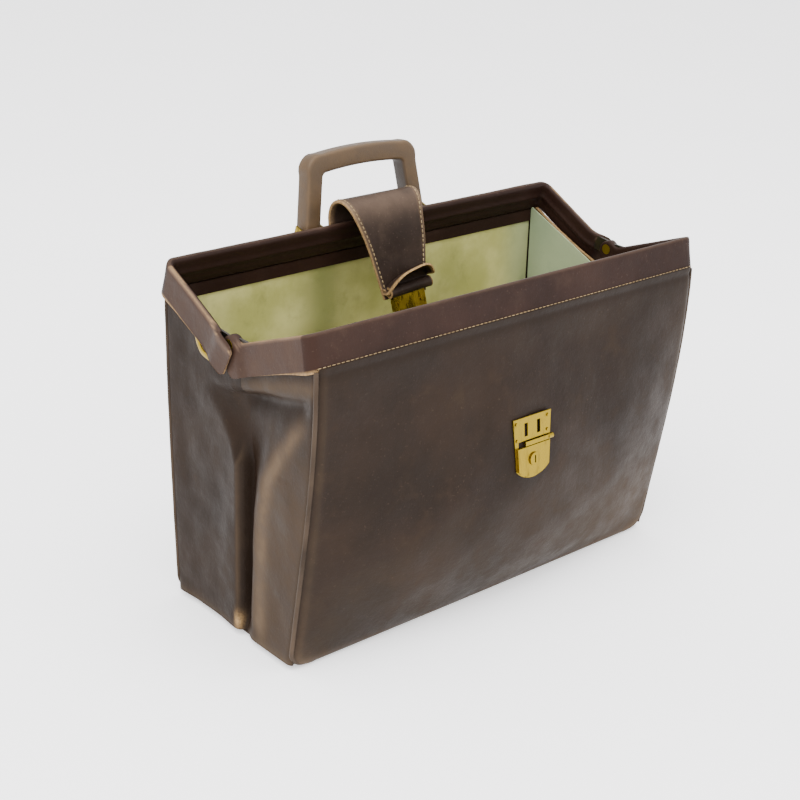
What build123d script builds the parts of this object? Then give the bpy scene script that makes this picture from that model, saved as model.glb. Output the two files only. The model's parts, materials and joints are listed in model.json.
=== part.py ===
"""Doctor bag standing open: a two-part folding frame on a soft leather body, with a moulded
handle, a closure strap and a brass lock.

Millimetres. +X runs along the bag's length, -Y is its front and +Z is up. The origin is on
the resting plane, under the middle of the base.
"""

from build123d import *
import math
import os

# Leather body
BASE_LENGTH = 402.0
BASE_DEPTH = 153.0
FOOT_HEIGHT = 2.5
FOOT_RADIUS = 6.0
LEATHER = 2.5
LINING = 1.0
BOARD = 3.0
BOARD_MARGIN = 8.5
GAP = 0.3
WELT = 4.0

# Folding frame. Both halves swing on one hinge axis along X
FRAME_HALF_LENGTH = 209.5
LAP = 2.5
ARM_LENGTH = 98.0
BAND_DEPTH = 25.0
BAND_THICKNESS = 6.0
CORNER_RADIUS = 10.0
CROWN = 10.0
PARTING_GAP = 0.5
BAR_THICKNESS = 2.0
BAR_INSET = 2.0
BAR_MARGIN = 2.5
COVER_END = 18.0
BAR_END = 16.0
LUG_RADIUS = 7.0
LUG_NECK_WIDTH = 12.6
LUG_NECK_RISE = 9.0
HINGE_Y = -8.0
HINGE_Z = 250.0
REAR_ARM_RISE = 26.8
FRONT_ARM_RISE = 21.5

# Hinge pins
PIN_RADIUS = 2.5
PIN_HEAD_RADIUS = 4.5
PIN_HEAD = 1.8
RUNNING_FIT = 0.05

# Panels: how far their middle and their ends belly out, low down and high up
BELLY_LOW_Z = 95.0
BELLY_HIGH_Z = 200.0
FRONT_BELLY_MIDDLE = (31.0, 12.0)
FRONT_BELLY_END = (4.0, 5.0)
REAR_BELLY_MIDDLE = (7.0, 5.0)
REAR_BELLY_END = (2.0, 2.0)
PANEL_TOP_GAP = 1.5
LINING_TOP_GAP = 7.0
LINING_BOTTOM_Z = 10.0
FACING_HEIGHT = 8.0
LINING_END_MARGIN = 6.0

# Gussets
GUSSET_CREASE_LOW = 3.0
GUSSET_CREASE_HIGH = 12.0
GUSSET_TOP_Z = 229.0
CREASE_Y = -3.0

# Handle
HANDLE_X = 0.5
HANDLE_WIDTH = 132.0
HANDLE_HEIGHT = 64.0
HANDLE_TAPER = 8.0
HANDLE_BAR = 17.0
HANDLE_DEPTH = 16.0
HANDLE_EYE_RADIUS = 8.0
HANDLE_CORNER = 18.0
HANDLE_LEAN = 7.5
HANDLE_PIVOT_HEIGHT = 11.0
HANDLE_PIN_RADIUS = 2.0
BRACKET_SHEET = 1.5
BRACKET_MARGIN = 3.0
FORK_DEPTH = 11.4
FORK_CLEARANCE = 1.5

# Closure strap, which shares its middle line with the lock
STRAP_X = 4.0
STRAP_THICKNESS = 3.0
STRAP_ROOT_WIDTH = 74.0
STRAP_TIP_WIDTH = 46.0
STRAP_BEND = 5.0
STRAP_ROOT_UP = -8.0
STRAP_ARCH_UP = 27.0
STRAP_ARCH = (65.0, 309.0)
STRAP_KNEE = (45.0, 263.0)
STRAP_TIP = (35.0, 233.0)
RIVET_RADIUS = 3.5
RIVET_HEAD = 1.2
RIVET_PITCH = 28.0

# Pull tab on the strap's tip: steps in depth and height from the tip
TAB_STEPS = ((-0.1, 8.0), (4.2, 22.0), (-5.3, 31.0))
TAB_THICKNESS = 2.0
TAB_BEND = 4.0
TAB_WIDTH = 44.0

# Hasp on the strap's tip
HASP_HALF_WIDTH = 17.0
HASP_SHEET = 1.2
HASP_FOOT = -10.0
HASP_TOP = 6.0
STAPLE_WIRE = 2.0
STAPLE_REACH = 5.0
STAPLE_LOW = -9.0
STAPLE_HIGH = -1.0
HASP_RIVET_RADIUS = 1.8
HASP_RIVET_X = 12.5
HASP_RIVET_Z = -4.0

# Lock, drawn flat: X along the bag, Y up the plate and Z out of it
LOCK_Y = -119.0
LOCK_Z = 151.5
LOCK_TILT = 6.0
LOCK_WIDTH = 42.0
LOCK_HEIGHT = 52.0
LOCK_FOOT_RISE = 8.0
LOCK_FOOT_TAPER = 0.86
PLATE_SHEET = 1.5
LEAF_RISE = 1.8
LEAF_MARGIN = 1.5
PARTING_LINE = 4.0
SLOT_X = 7.0
SLOT_WIDTH = 3.6
SLOT_LOW = 10.0
SLOT_HIGH = 21.0
CASE_DEPTH = 9.0
CASE_MARGIN = 6.0
CASE_FOOT_MARGIN = 10.0
SLOT_DEPTH = 7.0
BOLT_START = -9.0
BOLT_END = 17.0
BOLT_WIDTH = 3.6
BOLT_BACK = -1.6
BOLT_FRONT = 3.2
BOLT_CLEARANCE = 0.7
KNOB_RADIUS = 2.2
KNOB_LENGTH = 5.0
KNOB_TRAVEL = 6.0
PLUG_Y = -10.0
PLUG_RADIUS = 5.5
PLUG_BACK = 6.8
PLUG_CAP = 1.4
PLUG_CAP_MARGIN = 0.1
KEY_SLIT_WIDTH = 1.2
KEY_SLIT_LENGTH = 6.4
NAIL_RADIUS = 1.4
NAIL_HEAD = 0.8
NAIL_PLACES = ((-17.5, 22.0), (17.5, 22.0), (-17.0, 8.0), (17.0, 10.0))


# Sizes that follow from the ones above
GUSSET_OUTER = BASE_LENGTH / 2 - GAP
GUSSET_BOTTOM = FOOT_HEIGHT + LEATHER + GAP
LINING_HALF = BASE_LENGTH / 2 - LINING_END_MARGIN


def rail_top(y):
    """Height of the rail's outer face above the hinge axis, in a shut half frame."""
    return ARM_LENGTH - (y - PARTING_GAP) * math.tan(math.radians(CROWN))


# A half frame is drawn shut: its arms stand up from the hinge axis and its band reaches
# from the parting plane towards +Y. These places open it to the rest pose.
REAR_PLACE = Location((0, HINGE_Y, HINGE_Z), (REAR_ARM_RISE - 90, 0, 0))
FRONT_PLACE = Location((0, HINGE_Y, HINGE_Z), (90 - FRONT_ARM_RISE, 0, 0))
BAND_OUTER = PARTING_GAP + BAND_DEPTH
BAND_MIDDLE = PARTING_GAP + BAND_DEPTH / 2

# Middle of the rear rail's outer face, with local Z out of the face and local -Y up the face
REAR_FACE = REAR_PLACE * Location((0, BAND_MIDDLE, rail_top(BAND_MIDDLE)), (-CROWN, 0, 0))


def across_y(y):
    """Plane at a depth y, with local x along +X and local y along +Z."""
    return Plane(origin=(0, y, 0), x_dir=(1, 0, 0), z_dir=(0, -1, 0))


def across_x(x):
    """Plane at a length x, with local x along +Y and local y along +Z."""
    return Plane(origin=(x, 0, 0), x_dir=(0, 1, 0), z_dir=(1, 0, 0))


def block(x0, x1, y0, y1, z0, z1):
    """Box between two corners."""
    middle = Pos((x0 + x1) / 2, (y0 + y1) / 2, (z0 + z1) / 2)
    return middle * Box(x1 - x0, y1 - y0, z1 - z0)


# Folding frame ------------------------------------------------------------------------


def u_outline(half_length, top, bottom, radius):
    """Filled U outline of a half frame: straight arms and rounded top corners."""
    corners = [(-half_length, bottom), (-half_length, top), (half_length, top), (half_length, bottom)]
    outline = make_face(Polyline(*corners, close=True))
    return fillet(outline.vertices().sort_by(Axis.Y)[-2:], radius)


def u_band(half_length, inset, thickness, bottom, y0, y1):
    """U-shaped band between two depths, set in from the frame's outside by an inset."""
    sections = []
    for y in (y0, y1):
        top = rail_top(y) - inset
        outer = u_outline(half_length - inset, top, bottom, CORNER_RADIUS - inset)
        inner = u_outline(
            half_length - inset - thickness,
            top - thickness,
            bottom - thickness,
            CORNER_RADIUS - inset - thickness,
        )
        sections.append(across_y(y) * (outer - inner))
    return loft(sections, ruled=True)


def arm_lug(x):
    """End of an arm: a neck down to a drilled eye round the hinge axis."""
    neck_angle = math.degrees(math.atan2(BAR_END + LUG_RADIUS, LUG_NECK_RISE))
    neck_length = BAR_END + 2 * LUG_RADIUS
    neck = Rot(0, 0, neck_angle) * Pos(neck_length / 2, 0) * Rectangle(neck_length, LUG_NECK_WIDTH)
    eye = Circle(LUG_RADIUS) + neck - Circle(PIN_RADIUS + RUNNING_FIT)
    return extrude(across_x(x) * eye, BAR_THICKNESS / 2, both=True)


def frame_bar(half_length):
    """Sprung steel bar of a shut half frame, with its two hinge lugs."""
    y0 = PARTING_GAP + BAR_MARGIN
    y1 = BAND_OUTER - BAR_MARGIN
    bar = u_band(half_length, BAR_INSET, BAR_THICKNESS, BAR_END, y0, y1)
    lug_x = half_length - BAR_INSET - BAR_THICKNESS / 2
    for side in (-1, 1):
        bar += arm_lug(side * lug_x)
    return bar


def frame_cover(half_length):
    """Leather wrapped round the bar of a shut half frame, open only at the hinge ends."""
    cover = u_band(half_length, 0, BAND_THICKNESS, COVER_END, PARTING_GAP, BAND_OUTER)
    return cover - frame_bar(half_length)


def hinge_pin(side):
    """Pin through the lapped lugs at one end, with a head on each side of them."""
    outer_lug = FRAME_HALF_LENGTH - BAR_INSET
    inner_lug = outer_lug - LAP - BAR_THICKNESS
    outer_head = block(outer_lug + GAP, outer_lug + GAP + PIN_HEAD, -1, 1, -1, 1)
    shank_start = inner_lug - GAP - PIN_HEAD
    shank_length = outer_head.bounding_box().max.X - shank_start
    turned = Rot(0, 90, 0)
    shank = turned * Cylinder(PIN_RADIUS, shank_length)
    head = turned * Cylinder(PIN_HEAD_RADIUS, PIN_HEAD)
    pin = Pos(shank_start + shank_length / 2) * shank
    pin += Pos(shank_start + PIN_HEAD / 2) * head
    pin += Pos(shank_start + shank_length - PIN_HEAD / 2) * head
    if side < 0:
        pin = mirror(pin, Plane.YZ)
    return Pos(0, HINGE_Y, HINGE_Z) * pin


# Base -----------------------------------------------------------------------------------


def base_layer(margin, bottom, thickness):
    """One flat layer of the base, set in from the base's outline by a margin."""
    outline = RectangleRounded(BASE_LENGTH - 2 * margin, BASE_DEPTH - 2 * margin, FOOT_RADIUS)
    return Pos(0, 0, bottom) * extrude(outline, thickness)


def feet():
    """Domed metal studs: one near each corner and one in the middle."""
    foot = Cylinder(FOOT_RADIUS, FOOT_HEIGHT)
    foot = fillet(foot.edges().sort_by(Axis.Z)[0], 0.4 * FOOT_HEIGHT)
    reach_x = BASE_LENGTH / 2 - 3 * FOOT_RADIUS
    reach_y = BASE_DEPTH / 2 - 3 * FOOT_RADIUS
    places = [(0, 0)]
    for side_x in (-1, 1):
        for side_y in (-1, 1):
            places.append((side_x * reach_x, side_y * reach_y))
    studs = []
    for x, y in places:
        studs.append(Pos(x, y, FOOT_HEIGHT / 2) * foot)
    return Compound(children=studs)


# Panels -----------------------------------------------------------------------------------


def panel_top(place, side):
    """Depth and height of a panel's top edge, just below its band's lower edge."""
    drop = BAND_OUTER + PANEL_TOP_GAP
    edge = place * Pos(0, side * drop, rail_top(drop) - 1)
    return edge.position.Y, edge.position.Z


def panel_depth(side, top, belly, z):
    """Depth of the straight chord of a panel at a height, moved out by its belly there."""
    share = (z - FOOT_HEIGHT) / (top[1] - FOOT_HEIGHT)
    chord = side * BASE_DEPTH / 2 * (1 - share) + top[0] * share
    return chord + side * belly


def panel_section(x, side, top, belly, inset, thickness, bottom):
    """Upright section of a bellied sheet at a length x."""
    heights = (BELLY_LOW_Z, BELLY_HIGH_Z)
    points = [(panel_depth(side, top, 0, bottom), bottom)]
    for z, out in zip(heights, belly):
        if z > bottom:
            points.append((panel_depth(side, top, out, z), z))
    points.append(top)
    edges = []
    for depth in (inset, inset + thickness):
        moved = [(y - side * depth, z) for y, z in points]
        edges.append(Spline(*moved))
    ends = [Line(edges[0] @ t, edges[1] @ t) for t in (0, 1)]
    return across_x(x) * make_face(edges + ends)


def panel_sheet(side, top, bellies, inset, thickness, half_length):
    """Bellied sheet between the base and a band, a given inset inside the panel's outside."""
    middle, end = bellies
    stations = ((-half_length, end), (0, middle), (half_length, end))
    sections = [panel_section(x, side, top, b, inset, thickness, FOOT_HEIGHT) for x, b in stations]
    return loft(sections)


def between_heights(low, high):
    """Slab of space between two heights, wider than the bag."""
    return block(-BASE_LENGTH, BASE_LENGTH, -BASE_DEPTH, BASE_DEPTH, low, high)


def panel_welt(side, top, bellies, end):
    """Piped seam up one end of a panel, bent to the panel's edge."""
    inset = -(WELT - LEATHER) / 2
    belly = bellies[1]
    section = panel_section(end * BASE_LENGTH / 2, side, top, belly, inset, WELT, 2 * FOOT_HEIGHT)
    return extrude(section, WELT, dir=(end, 0, 0))


def facing(side, top, bellies):
    """Leather strip inside the mouth, over the top of a panel's lining."""
    full = panel_sheet(side, top, bellies, LEATHER + LINING + 2 * GAP, LEATHER / 2, LINING_HALF)
    high = top[1] - LINING_TOP_GAP
    return full & between_heights(high - FACING_HEIGHT, high)


# Gussets ----------------------------------------------------------------------------------



def gusset_half(side, top, belly, inset, thickness):
    """Half of an end gusset, from the crease to one panel, drawn for the +X end."""
    outer = GUSSET_OUTER - inset
    low = outer - GUSSET_CREASE_LOW
    high = outer - GUSSET_CREASE_HIGH
    crease = Polyline(
        (low, GUSSET_BOTTOM),
        (high, GUSSET_TOP_Z),
        (high - thickness, GUSSET_TOP_Z),
        (low - thickness, GUSSET_BOTTOM),
        close=True,
    )
    start = across_y(CREASE_Y) * make_face(crease)
    depth = LEATHER + GAP
    heights = (GUSSET_BOTTOM, top[1] - PANEL_TOP_GAP)
    foot = (panel_depth(side, top, 0, heights[0]) - side * depth, heights[0])
    head = (panel_depth(side, top, 0, heights[1]) - side * depth, heights[1])
    edge_plane = Plane(
        origin=(outer, foot[0], foot[1]),
        x_dir=(-1, 0, 0),
        z_dir=(0, -(head[1] - foot[1]), head[0] - foot[0]),
    )
    length = math.dist(foot, head)
    upward = edge_plane.y_dir.Z
    reach = length if upward > 0 else -length
    outline = Polyline((0, 0), (0, reach), (thickness, reach), (thickness, 0), close=True)
    end = edge_plane * make_face(outline)
    return loft([start, end], ruled=True)


def gusset(end, inset, thickness):
    """End gusset: two halves that meet at an inward crease."""
    sheet = gusset_half(-1, FRONT_TOP, FRONT_BELLY_END, inset, thickness)
    sheet += gusset_half(1, REAR_TOP, REAR_BELLY_END, inset, thickness)
    if end < 0:
        sheet = mirror(sheet, Plane.YZ)
    return sheet


# Handle -----------------------------------------------------------------------------------


def handle_outline(inset, foot):
    """Tapered U outline of the handle about its pivot line, drawn across Y."""
    base = HANDLE_WIDTH / 2 - inset
    top = base - HANDLE_TAPER
    high = HANDLE_HEIGHT - inset
    corners = [(-base, foot), (-top, high), (top, high), (base, foot)]
    outline = make_face(Polyline(*corners, close=True))
    radius = HANDLE_CORNER - 0.6 * inset
    return fillet(outline.vertices().sort_by(Axis.Y)[-2:], radius)


def handle_grip():
    """Moulded handle with a round eye at the foot of each leg."""
    shape = handle_outline(0, 0) - handle_outline(HANDLE_BAR, -1)
    grip = extrude(across_y(0) * shape, HANDLE_DEPTH / 2, both=True)
    for side in (-1, 1):
        middle = side * (HANDLE_WIDTH - HANDLE_BAR) / 2
        grip += Pos(middle) * Rot(0, 90, 0) * Cylinder(HANDLE_EYE_RADIUS, HANDLE_BAR)
    grip = grip - Rot(0, 90, 0) * Cylinder(HANDLE_PIN_RADIUS + RUNNING_FIT, 2 * HANDLE_WIDTH)
    return grip


def handle_bracket(side):
    """Sheet-metal fork on the rear rail that carries one leg of the handle."""
    inner = HANDLE_WIDTH / 2 - HANDLE_BAR - FORK_CLEARANCE
    outer = HANDLE_WIDTH / 2 + FORK_CLEARANCE
    half_depth = BAND_DEPTH / 2 - BRACKET_MARGIN
    tall = HANDLE_PIVOT_HEIGHT + 2 * HANDLE_PIN_RADIUS
    fork = block(inner - BRACKET_SHEET, outer + BRACKET_SHEET, -half_depth, half_depth, 0, BRACKET_SHEET)
    for x in (inner - BRACKET_SHEET, outer):
        fork += block(x, x + BRACKET_SHEET, -FORK_DEPTH / 2, FORK_DEPTH / 2, 0, tall)
    hole = Pos(0, 0, HANDLE_PIVOT_HEIGHT) * Rot(0, 90, 0) * Cylinder(HANDLE_PIN_RADIUS, 2 * HANDLE_WIDTH)
    fork = fork - hole
    if side < 0:
        fork = mirror(fork, Plane.YZ)
    return REAR_FACE * Pos(HANDLE_X) * fork


def handle_pins():
    """Two pins, one across each fork."""
    span = HANDLE_BAR + 2 * FORK_CLEARANCE + 2 * BRACKET_SHEET
    pins = []
    for side in (-1, 1):
        middle = side * (HANDLE_WIDTH - HANDLE_BAR) / 2
        pin = Rot(0, 90, 0) * Cylinder(HANDLE_PIN_RADIUS, span)
        pins.append(REAR_FACE * Pos(HANDLE_X + middle, 0, HANDLE_PIVOT_HEIGHT) * pin)
    return Compound(children=pins)


# Closure strap ----------------------------------------------------------------------------


def face_point(up, out):
    """Depth and height of a point on the rear rail's face: up the face, and out of it."""
    place = (REAR_FACE * Pos(0, -up, out)).position
    return place.Y, place.Z


STRAP_OUT = STRAP_THICKNESS / 2 + GAP
STRAP_FACE_END = face_point(STRAP_ARCH_UP, STRAP_OUT)
STRAP_PIVOT = ((STRAP_FACE_END[0] + STRAP_ARCH[0]) / 2, (STRAP_FACE_END[1] + STRAP_ARCH[1]) / 2)


def strip(points, radius, thickness, width):
    """Strip of even thickness bent along a line of points, centred on the strap's line."""
    middle = FilletPolyline(*points, radius=radius)
    side = trace(middle, thickness)
    return extrude(across_x(STRAP_X) * side, width / 2, both=True)


def strap_taper():
    """Block that narrows downwards, as wide as the strap at each height."""
    top = STRAP_ARCH[1] + STRAP_THICKNESS
    low = STRAP_TIP[1] - STRAP_THICKNESS
    root = STRAP_ROOT_WIDTH / 2
    tip = STRAP_TIP_WIDTH / 2
    outline = Polyline((-tip, low), (-root, top), (root, top), (tip, low), close=True)
    return Pos(STRAP_X) * extrude(across_y(0) * make_face(outline), BASE_DEPTH, both=True)


def strap_root():
    """Fixed part of the strap: up the rear rail's face to the top of the arch."""
    line = (face_point(STRAP_ROOT_UP, STRAP_OUT), STRAP_FACE_END, STRAP_PIVOT)
    return strip(line, STRAP_BEND, STRAP_THICKNESS, STRAP_ROOT_WIDTH)


def strap_tongue():
    """Free part of the strap: from the top of the arch down into the mouth."""
    over = Vector(*STRAP_ARCH) - Vector(*STRAP_PIVOT)
    start = Vector(*STRAP_PIVOT) + over.normalized() * GAP
    line = ((start.X, start.Y), STRAP_ARCH, STRAP_KNEE, STRAP_TIP)
    whole = strip(line, STRAP_BEND - 2 * GAP, STRAP_THICKNESS, STRAP_ROOT_WIDTH)
    return whole & strap_taper()


def strap_tab():
    """Curled leather tab on the strap's end, with its lip turned up."""
    lip = [(STRAP_TIP[0] + step_y, STRAP_TIP[1] + step_z) for step_y, step_z in TAB_STEPS]
    return strip(lip, TAB_BEND, TAB_THICKNESS, TAB_WIDTH)


TIP_SLOPE = math.degrees(math.atan2(STRAP_KNEE[0] - STRAP_TIP[0], STRAP_KNEE[1] - STRAP_TIP[1]))
TIP_PLACE = Location((STRAP_X, *STRAP_TIP), (-TIP_SLOPE, 0, 0))
JAW = STRAP_THICKNESS / 2
HASP_FACE = JAW + HASP_SHEET


def hasp_plate():
    """Brass plate clamped round the strap's end, below the tab."""
    plate = block(-HASP_HALF_WIDTH, HASP_HALF_WIDTH, -HASP_FACE, HASP_FACE, HASP_FOOT, HASP_TOP)
    plate -= block(-HASP_HALF_WIDTH, HASP_HALF_WIDTH, -JAW, JAW, 0, HASP_TOP)
    return TIP_PLACE * plate


def hasp_staples():
    """Two small loops behind the hasp plate that enter the lock's slots."""
    half = STAPLE_WIRE * 0.6
    loops = []
    for side in (-1, 1):
        loop = block(-half, half, HASP_FACE, HASP_FACE + STAPLE_REACH, STAPLE_LOW, STAPLE_HIGH)
        eye_far = HASP_FACE + STAPLE_REACH - STAPLE_WIRE
        eye_low = STAPLE_LOW + STAPLE_WIRE
        eye_high = STAPLE_HIGH - STAPLE_WIRE
        loop -= block(-STAPLE_WIRE, STAPLE_WIRE, HASP_FACE, eye_far, eye_low, eye_high)
        loops.append(TIP_PLACE * Pos(SLOT_X * side) * loop)
    return Compound(children=loops)


def hasp_rivets():
    """Rivet heads on the front of the hasp plate."""
    head = Rot(90, 0, 0) * Cylinder(HASP_RIVET_RADIUS, 1)
    heads = []
    for side in (-1, 1):
        heads.append(TIP_PLACE * Pos(HASP_RIVET_X * side, -HASP_FACE - 0.5, HASP_RIVET_Z) * head)
    return Compound(children=heads)


def strap_rivets():
    """Rivet heads that hold the strap's root to the rear rail."""
    heads = []
    for step in (-1, 0, 1):
        lift = STRAP_THICKNESS + GAP + RIVET_HEAD / 2
        place = Pos(STRAP_X + step * RIVET_PITCH, 2, lift)
        heads.append(REAR_FACE * place * Cylinder(RIVET_RADIUS, RIVET_HEAD))
    return Compound(children=heads)


# Lock -------------------------------------------------------------------------------------

LOCK_PLACE = Location((STRAP_X, LOCK_Y, LOCK_Z), (90 - LOCK_TILT, 0, 0))
LEAF_FACE = PLATE_SHEET + LEAF_RISE
CHANNEL_HALF = BOLT_WIDTH / 2 + BOLT_CLEARANCE


def lock_shield(inset):
    """Outline of the lock's plate: straight top and sides, and a rounded foot."""
    half = LOCK_WIDTH / 2 - inset
    narrow = half * LOCK_FOOT_TAPER
    top = LOCK_HEIGHT / 2 - inset
    shoulder = -LOCK_HEIGHT / 2 + LOCK_FOOT_RISE
    foot = -LOCK_HEIGHT / 2 + inset
    sides = Polyline((-narrow, shoulder), (-half, top), (half, top), (narrow, shoulder))
    round_foot = ThreePointArc((narrow, shoulder), (0, foot), (-narrow, shoulder))
    return make_face([sides, round_foot])


def lock_case_box(depth):
    """Box of the lock's works behind the plate, through the panel."""
    half_x = LOCK_WIDTH / 2 - CASE_MARGIN
    low = -LOCK_HEIGHT / 2 + CASE_FOOT_MARGIN
    return block(-half_x, half_x, low, LOCK_HEIGHT / 2 - CASE_MARGIN, -depth, 0)


def hasp_slots(back, front):
    """Two upright slots that the hasp's staples enter."""
    slots = []
    for side in (-1, 1):
        x = side * SLOT_X
        slots.append(block(x - SLOT_WIDTH / 2, x + SLOT_WIDTH / 2, SLOT_LOW, SLOT_HIGH, back, front))
    return slots


def bolt_channel(margin):
    """Space of the slide bolt and its knob along the lock's parting line."""
    half = KNOB_RADIUS + margin
    start = BOLT_START - margin
    return block(start, LOCK_WIDTH / 2 + margin, PARTING_LINE - half, PARTING_LINE + half, -2 - margin, 4)


def key_plug_shape(margin):
    """Key plug: a barrel through the plate, below the bolt."""
    return Pos(0, PLUG_Y, 0) * Cylinder(PLUG_RADIUS + margin, 2 * (PLUG_BACK + margin))


def lock_plate():
    """Shield plate: an upper leaf with two slots for the hasp, and a raised lower leaf."""
    channel_low = PARTING_LINE - CHANNEL_HALF
    plate = extrude(lock_shield(0), PLATE_SHEET)
    raised = extrude(lock_shield(LEAF_MARGIN), LEAF_FACE)
    plate += raised & block(-LOCK_WIDTH, LOCK_WIDTH, -LOCK_HEIGHT, channel_low, 0, LEAF_FACE)
    for slot in hasp_slots(-1, LEAF_FACE):
        plate -= slot
    plate = plate - key_plug_shape(RUNNING_FIT)
    far_end = BOLT_START - KNOB_TRAVEL - 2 * GAP
    channel_high = PARTING_LINE + CHANNEL_HALF
    plate -= block(far_end, LOCK_WIDTH, channel_low, channel_high, -1, LEAF_FACE)
    return LOCK_PLACE * plate


def lock_case():
    """Works box behind the plate, hollow where the bolt and the key plug sit."""
    case = lock_case_box(CASE_DEPTH)
    for slot in hasp_slots(-SLOT_DEPTH, 1):
        case -= slot
    travel = bolt_channel(GAP) + Pos(-KNOB_TRAVEL) * bolt_channel(GAP)
    case = case - travel - key_plug_shape(RUNNING_FIT)
    return LOCK_PLACE * case


def lock_bolt():
    """Slide bolt with a round side knob."""
    low = PARTING_LINE - BOLT_WIDTH / 2
    bolt = block(BOLT_START, BOLT_END, low, low + BOLT_WIDTH, BOLT_BACK, BOLT_FRONT)
    knob = Rot(0, 90, 0) * Cylinder(KNOB_RADIUS, KNOB_LENGTH)
    bolt += Pos(BOLT_END + KNOB_LENGTH / 2, PARTING_LINE, -BOLT_BACK) * knob
    return LOCK_PLACE * bolt


def key_plug():
    """Turning key plug with a raised escutcheon and a key slit."""
    barrel = Pos(0, 0, -PLUG_BACK) * extrude(Circle(PLUG_RADIUS), PLUG_BACK + LEAF_FACE)
    cap = Pos(0, 0, LEAF_FACE) * extrude(Circle(PLUG_RADIUS - PLUG_CAP_MARGIN), PLUG_CAP)
    half_wide = KEY_SLIT_WIDTH / 2
    half_long = KEY_SLIT_LENGTH / 2
    slit = block(-half_wide, half_wide, -half_long, half_long, PLATE_SHEET, LEAF_FACE + 2 * PLUG_CAP)
    return LOCK_PLACE * Pos(0, PLUG_Y, 0) * (barrel + cap - slit)


def lock_rivets():
    """Small nail heads near the plate's corners."""
    heads = []
    for x, y in NAIL_PLACES:
        heads.append(LOCK_PLACE * Pos(x, y, PLATE_SHEET + NAIL_HEAD / 2) * Cylinder(NAIL_RADIUS, NAIL_HEAD))
    return Compound(children=heads)


# The bag ----------------------------------------------------------------------------------

FRONT_TOP = panel_top(FRONT_PLACE, -1)
REAR_TOP = panel_top(REAR_PLACE, 1)
FRONT_BELLIES = (FRONT_BELLY_MIDDLE, FRONT_BELLY_END)
REAR_BELLIES = (REAR_BELLY_MIDDLE, REAR_BELLY_END)


def panel_nodes(name, side, top, bellies, cutter):
    """Leather, lining, facing and welts of one panel, with room cut for the lock."""
    leather = panel_sheet(side, top, bellies, 0, LEATHER, BASE_LENGTH / 2)
    lining = panel_sheet(side, top, bellies, LEATHER + GAP, LINING, LINING_HALF)
    lining = lining & between_heights(LINING_BOTTOM_Z, top[1] - LINING_TOP_GAP)
    welts = [panel_welt(side, top, bellies, end) for end in (-1, 1)]
    if cutter is not None:
        leather = leather - cutter
        lining = lining - cutter
    return {
        f"{name}_panel": leather,
        f"{name}_lining": lining,
        f"{name}_facing": facing(side, top, bellies),
        f"{name}_welts": Compound(children=welts),
    }


def bag():
    """Every piece of the bag, by node name."""
    board_bottom = FOOT_HEIGHT + LEATHER
    nodes = {
        "base_leather": base_layer(LEATHER + GAP, FOOT_HEIGHT, LEATHER),
        "base_board": base_layer(BOARD_MARGIN, board_bottom, BOARD),
        "base_lining": base_layer(BOARD_MARGIN + LINING, board_bottom + BOARD, LINING),
        "feet": feet(),
        "left_gusset": gusset(-1, 0, LEATHER),
        "right_gusset": gusset(1, 0, LEATHER),
        "left_gusset_lining": gusset(-1, LEATHER + GAP, LINING),
        "right_gusset_lining": gusset(1, LEATHER + GAP, LINING),
        "left_hinge_pin": hinge_pin(-1),
        "right_hinge_pin": hinge_pin(1),
        "rear_frame_bar": REAR_PLACE * frame_bar(FRAME_HALF_LENGTH),
        "rear_frame_cover": REAR_PLACE * frame_cover(FRAME_HALF_LENGTH),
        "front_frame_bar": FRONT_PLACE * mirror(frame_bar(FRAME_HALF_LENGTH - LAP), Plane.XZ),
        "front_frame_cover": FRONT_PLACE * mirror(frame_cover(FRAME_HALF_LENGTH - LAP), Plane.XZ),
        "left_handle_bracket": handle_bracket(-1),
        "right_handle_bracket": handle_bracket(1),
        "handle_pins": handle_pins(),
        "strap_root": strap_root(),
        "strap_rivets": strap_rivets(),
        "strap_tongue": strap_tongue(),
        "strap_tab": strap_tab(),
        "hasp_plate": hasp_plate(),
        "hasp_staples": hasp_staples(),
        "hasp_rivets": hasp_rivets(),
        "lock_plate": lock_plate(),
        "lock_case": lock_case(),
        "lock_bolt": lock_bolt(),
        "key_plug": key_plug(),
        "lock_rivets": lock_rivets(),
    }
    pivot = (REAR_FACE * Pos(0, 0, HANDLE_PIVOT_HEIGHT)).position
    handle_place = Location((HANDLE_X, pivot.Y, pivot.Z), (-HANDLE_LEAN, 0, 0))
    nodes["handle"] = handle_place * handle_grip()
    works = LOCK_PLACE * lock_case_box(CASE_DEPTH + 20)
    nodes.update(panel_nodes("front", -1, FRONT_TOP, FRONT_BELLIES, works))
    nodes.update(panel_nodes("rear", 1, REAR_TOP, REAR_BELLIES, None))
    return nodes


os.makedirs("parts", exist_ok=True)
for node_name, shape in bag().items():
    export_step(shape, f"parts/{node_name}.step")
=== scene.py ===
"""Looks of the doctor bag: worn brown leather on a folding frame, a coated lining, a moulded
handle, a closure strap and a brass lock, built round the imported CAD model.

Shapes are worked out in millimetres, in the row frame, and scaled once when a mesh is made.
"""

import json
import math

import bpy
import numpy as np
from mathutils import Matrix, Vector, noise


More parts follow.
